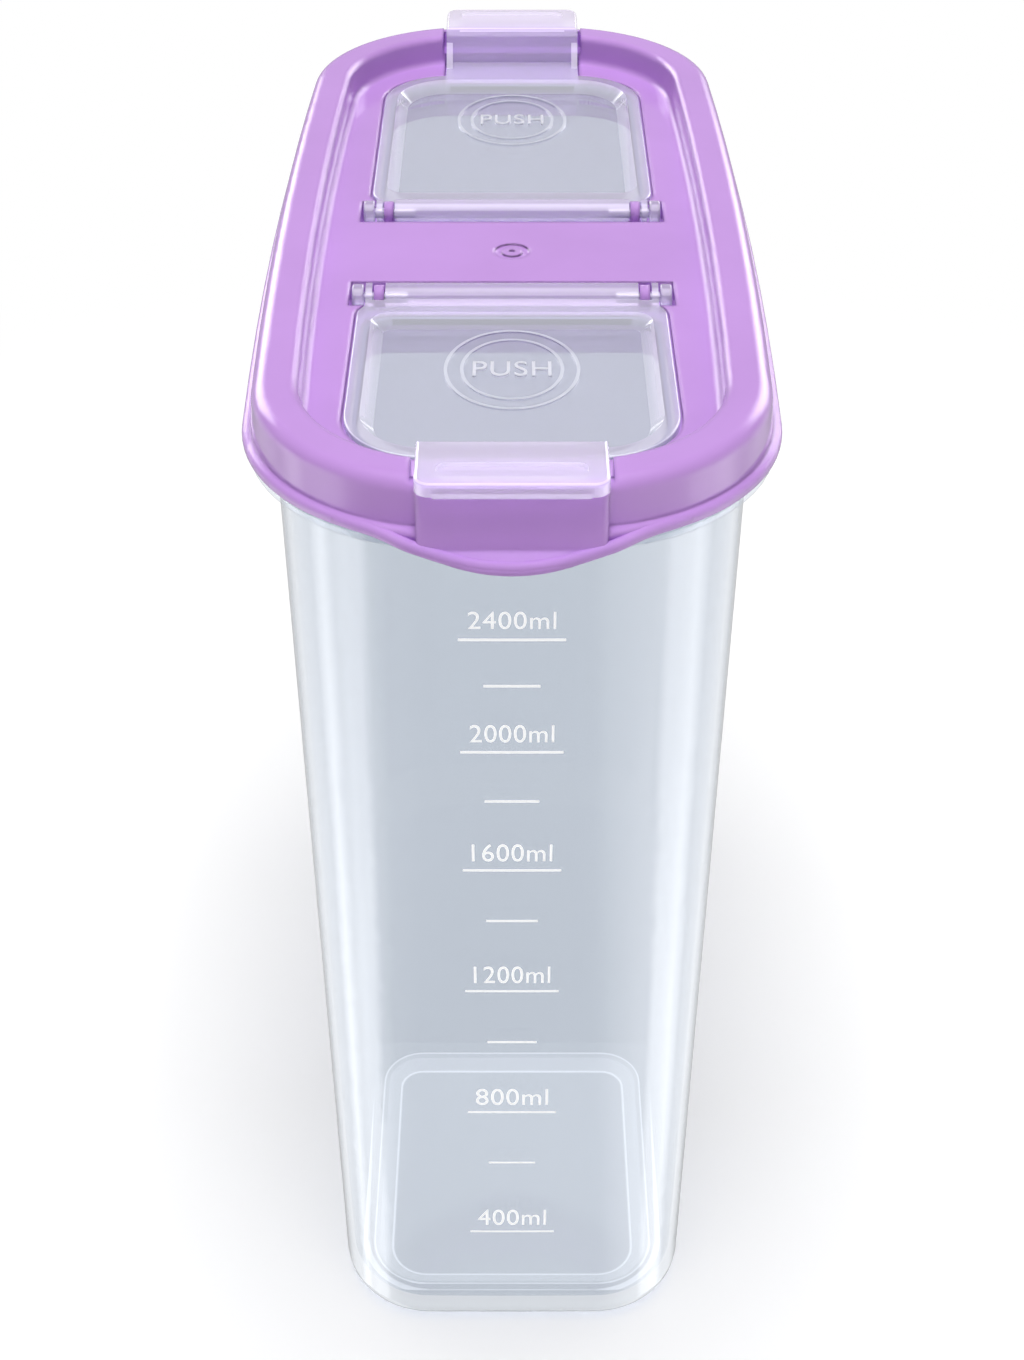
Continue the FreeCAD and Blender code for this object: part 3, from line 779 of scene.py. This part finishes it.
class KEEPER_OT_cap_labels(bpy.types.Operator):
    """Raise the function word inside each cap's finger rings"""
    bl_idname = "keeper.cap_labels"
    bl_label = "Cap words"

    def execute(self, context):
        label = context.scene.keeper_cap_label
        frosted = clear_plastic("word_frosted", label.tint, label.clarity)
        for side, y in (("front", label.front_y), ("rear", label.rear_y)):
            start = Vector((0.0, y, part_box(CAPS[side])[1][2]))
            down = Vector((0.0, 0.0, -1.0))
            pan = node_surface(CAPS[side]).ray_cast(start, down)[0].z
            letters = text_mesh(f"{side}_cap_word", label.word, LETTER_DEPTH)
            mesh = fit_letters(letters, label.width, label.height)
            for v in mesh.vertices:
                rise = label.relief if v.co.z > 0 else -label.sink
                v.co = Vector((v.co.x, y + v.co.y - label.height / 2, pan + rise))
            mesh.update()
            piece = link_object(mesh.name, mesh)
            set_material(piece, frosted)
            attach(piece, CAPS[side])
        return {"FINISHED"}


class KEEPER_OT_stage(bpy.types.Operator):
    """Set the floor, the lamps, the room light and the camera"""
    bl_idname = "keeper.stage"
    bl_label = "Stage"

    def execute(self, context):
        stage = context.scene.keeper_stage
        self.floor(stage)
        self.room(context.scene, stage)
        self.lamps()
        self.camera(context.scene, stage)
        context.scene.view_settings.view_transform = "Standard"
        cycles = context.scene.cycles
        cycles.max_bounces = 24
        cycles.transmission_bounces = 20
        cycles.transparent_max_bounces = 24
        cycles.glossy_bounces = 8
        return {"FINISHED"}

    def floor(self, stage):
        """Pale floor that keeps the shadow near the tub and is plain white beyond it."""
        mesh = bpy.data.meshes.new("floor")
        made = bmesh.new()
        bmesh.ops.create_circle(made, cap_ends=True, segments=96, radius=stage.floor_radius)
        made.to_mesh(mesh)
        made.free()
        floor = link_object("floor", mesh)
        floor.location.z = -stage.floor_drop
        material, tree = new_material("floor_white")
        rays = light_path(tree)
        seen = rays["Diffuse Depth"] < FIRST_BOUNCE
        through = rays["Is Transmission Ray"]
        paint = shader_node(tree, "ShaderNodeBsdfDiffuse", None,
                            Color=grey(stage.floor_white))[0]
        glow = shader_node(tree, "ShaderNodeEmission", None, Color=WHITE,
                           Strength=seen * stage.floor_glow)[0]
        lit = shader_node(tree, "ShaderNodeAddShader", None, i0=paint, i1=glow)[0]
        white = shader_node(tree, "ShaderNodeEmission", None, Color=WHITE, Strength=1.0)[0]
        place = named_outputs(tree, "ShaderNodeTexCoord")["Object"]
        reach = shader_node(tree, "ShaderNodeVectorMath", {"operation": "LENGTH"},
                            Vector=place)[1]
        far = soft_step(tree, reach, stage.shadow_fade, stage.shadow_end)
        plain = seen * (through + far - through * far)
        close_material(tree, mix_shaders(tree, plain, lit, white))
        set_material(floor, material)
        floor.visible_glossy = False

    def room(self, scene, stage):
        """White to look at and through, soft to be lit by, and hung with cards for gloss."""
        world = bpy.data.worlds.new("room")
        world.use_nodes = True
        tree = world.node_tree
        tree.nodes.clear()
        x, y, rise = split(tree, named_outputs(tree, "ShaderNodeTexCoord")["Generated"])
        turn = shader_node(tree, "ShaderNodeMath", {"operation": "ARCTAN2"}, i0=x, i1=0.0 - y)[0]
        stops = [((angle + 180.0) / 360.0, grey(level / CARD_PEAK)) for angle, level in CARDS]
        cards = shader_node(tree, "ShaderNodeValToRGB", {"stops": stops},
                            Fac=turn * (0.5 / math.pi) + 0.5)[0]
        low = CARD_PEAK * cards * soft_step(tree, rise, *CARD_FOOT_RISE, To_Min=CARD_FOOT_LEVEL)
        rear_boxes = (band(tree, abs(turn), REAR_BOX_TURN, REAR_BOX_HALF_WIDTH)
                      * band(tree, rise, REAR_BOX_RISE, REAR_BOX_HALF_HEIGHT))
        top_box = soft_step(tree, rise, *TOP_BOX_RISE, To_Max=TOP_BOX_LEVEL)
        high = UPPER_LEVEL + REAR_BOX_LEVEL * rear_boxes + top_box
        mirrored = low + soft_step(tree, rise, *HORIZON) * (high - low)
        rays = light_path(tree)
        gloss = rays["Is Glossy Ray"] * (1.0 - rays["Is Transmission Ray"])
        seen = rays["Diffuse Depth"] < FIRST_BOUNCE
        level = stage.world_level + seen * (1.0 - stage.world_level + gloss * (mirrored - 1.0))
        sky = shader_node(tree, "ShaderNodeBackground", None, Color=WHITE, Strength=level)[0]
        shader_node(tree, "ShaderNodeOutputWorld", None, Surface=sky)
        scene.world = world

    def lamps(self):
        """Soft lamps that gloss doesn't mirror."""
        for name, place, size, power, aim in LAMPS:
            lamp = bpy.data.lights.new(name, "AREA")
            lamp.shape = "RECTANGLE"
            lamp.size, lamp.size_y = size
            lamp.energy = power
            holder = link_object(name, lamp)
            holder.location = place
            holder.visible_glossy = False
            facing = Vector(aim) - Vector(place)
            holder.rotation_euler = facing.to_track_quat("-Z", "Y").to_euler()

    def camera(self, scene, stage):
        """Camera at the photograph's angle, looking along +Y and down."""
        data = bpy.data.cameras.new("camera")
        data.lens = stage.lens
        data.sensor_width = 36.0
        data.clip_start = 0.01
        camera = link_object("camera", data)
        camera.location = (0.0, -stage.camera_distance, stage.camera_height)
        camera.rotation_euler = (math.pi / 2 - stage.camera_tilt, 0.0, 0.0)
        scene.camera = camera


class KEEPER_PT_panel(bpy.types.Panel):
    """Lists the keeper's pieces"""
    bl_idname = "KEEPER_PT_panel"
    bl_label = "Dry-food keeper"
    bl_space_type = "VIEW_3D"
    bl_region_type = "UI"
    bl_category = "Keeper"

    def draw(self, context):
        for operator in OPERATORS:
            self.layout.operator(operator.bl_idname)


# Registration

POINTERS = {"keeper_scale": KeeperScale, "keeper_cap_label": KeeperCapLabel,
            "keeper_lip_edge": KeeperLipEdge, "keeper_finish": KeeperFinish,
            "keeper_stage": KeeperStage}
OPERATORS = (KEEPER_OT_tub, KEEPER_OT_lid, KEEPER_OT_lip_edges, KEEPER_OT_caps,
             KEEPER_OT_seals, KEEPER_OT_scale, KEEPER_OT_cap_labels, KEEPER_OT_stage)
CLASSES = (*POINTERS.values(), *OPERATORS, KEEPER_PT_panel)


def register():
    for cls in CLASSES:
        bpy.utils.register_class(cls)
    for name, group in POINTERS.items():
        setattr(bpy.types.Scene, name, PointerProperty(type=group))


def unregister():
    for name in POINTERS:
        delattr(bpy.types.Scene, name)
    for cls in reversed(CLASSES):
        bpy.utils.unregister_class(cls)


def main():
    register()
    bpy.ops.keeper.tub()
    bpy.ops.keeper.lid()
    bpy.ops.keeper.lip_edges()
    bpy.ops.keeper.caps()
    bpy.ops.keeper.seals()
    bpy.ops.keeper.scale()
    bpy.ops.keeper.cap_labels()
    bpy.ops.keeper.stage()


if __name__ == "__main__":
    main()
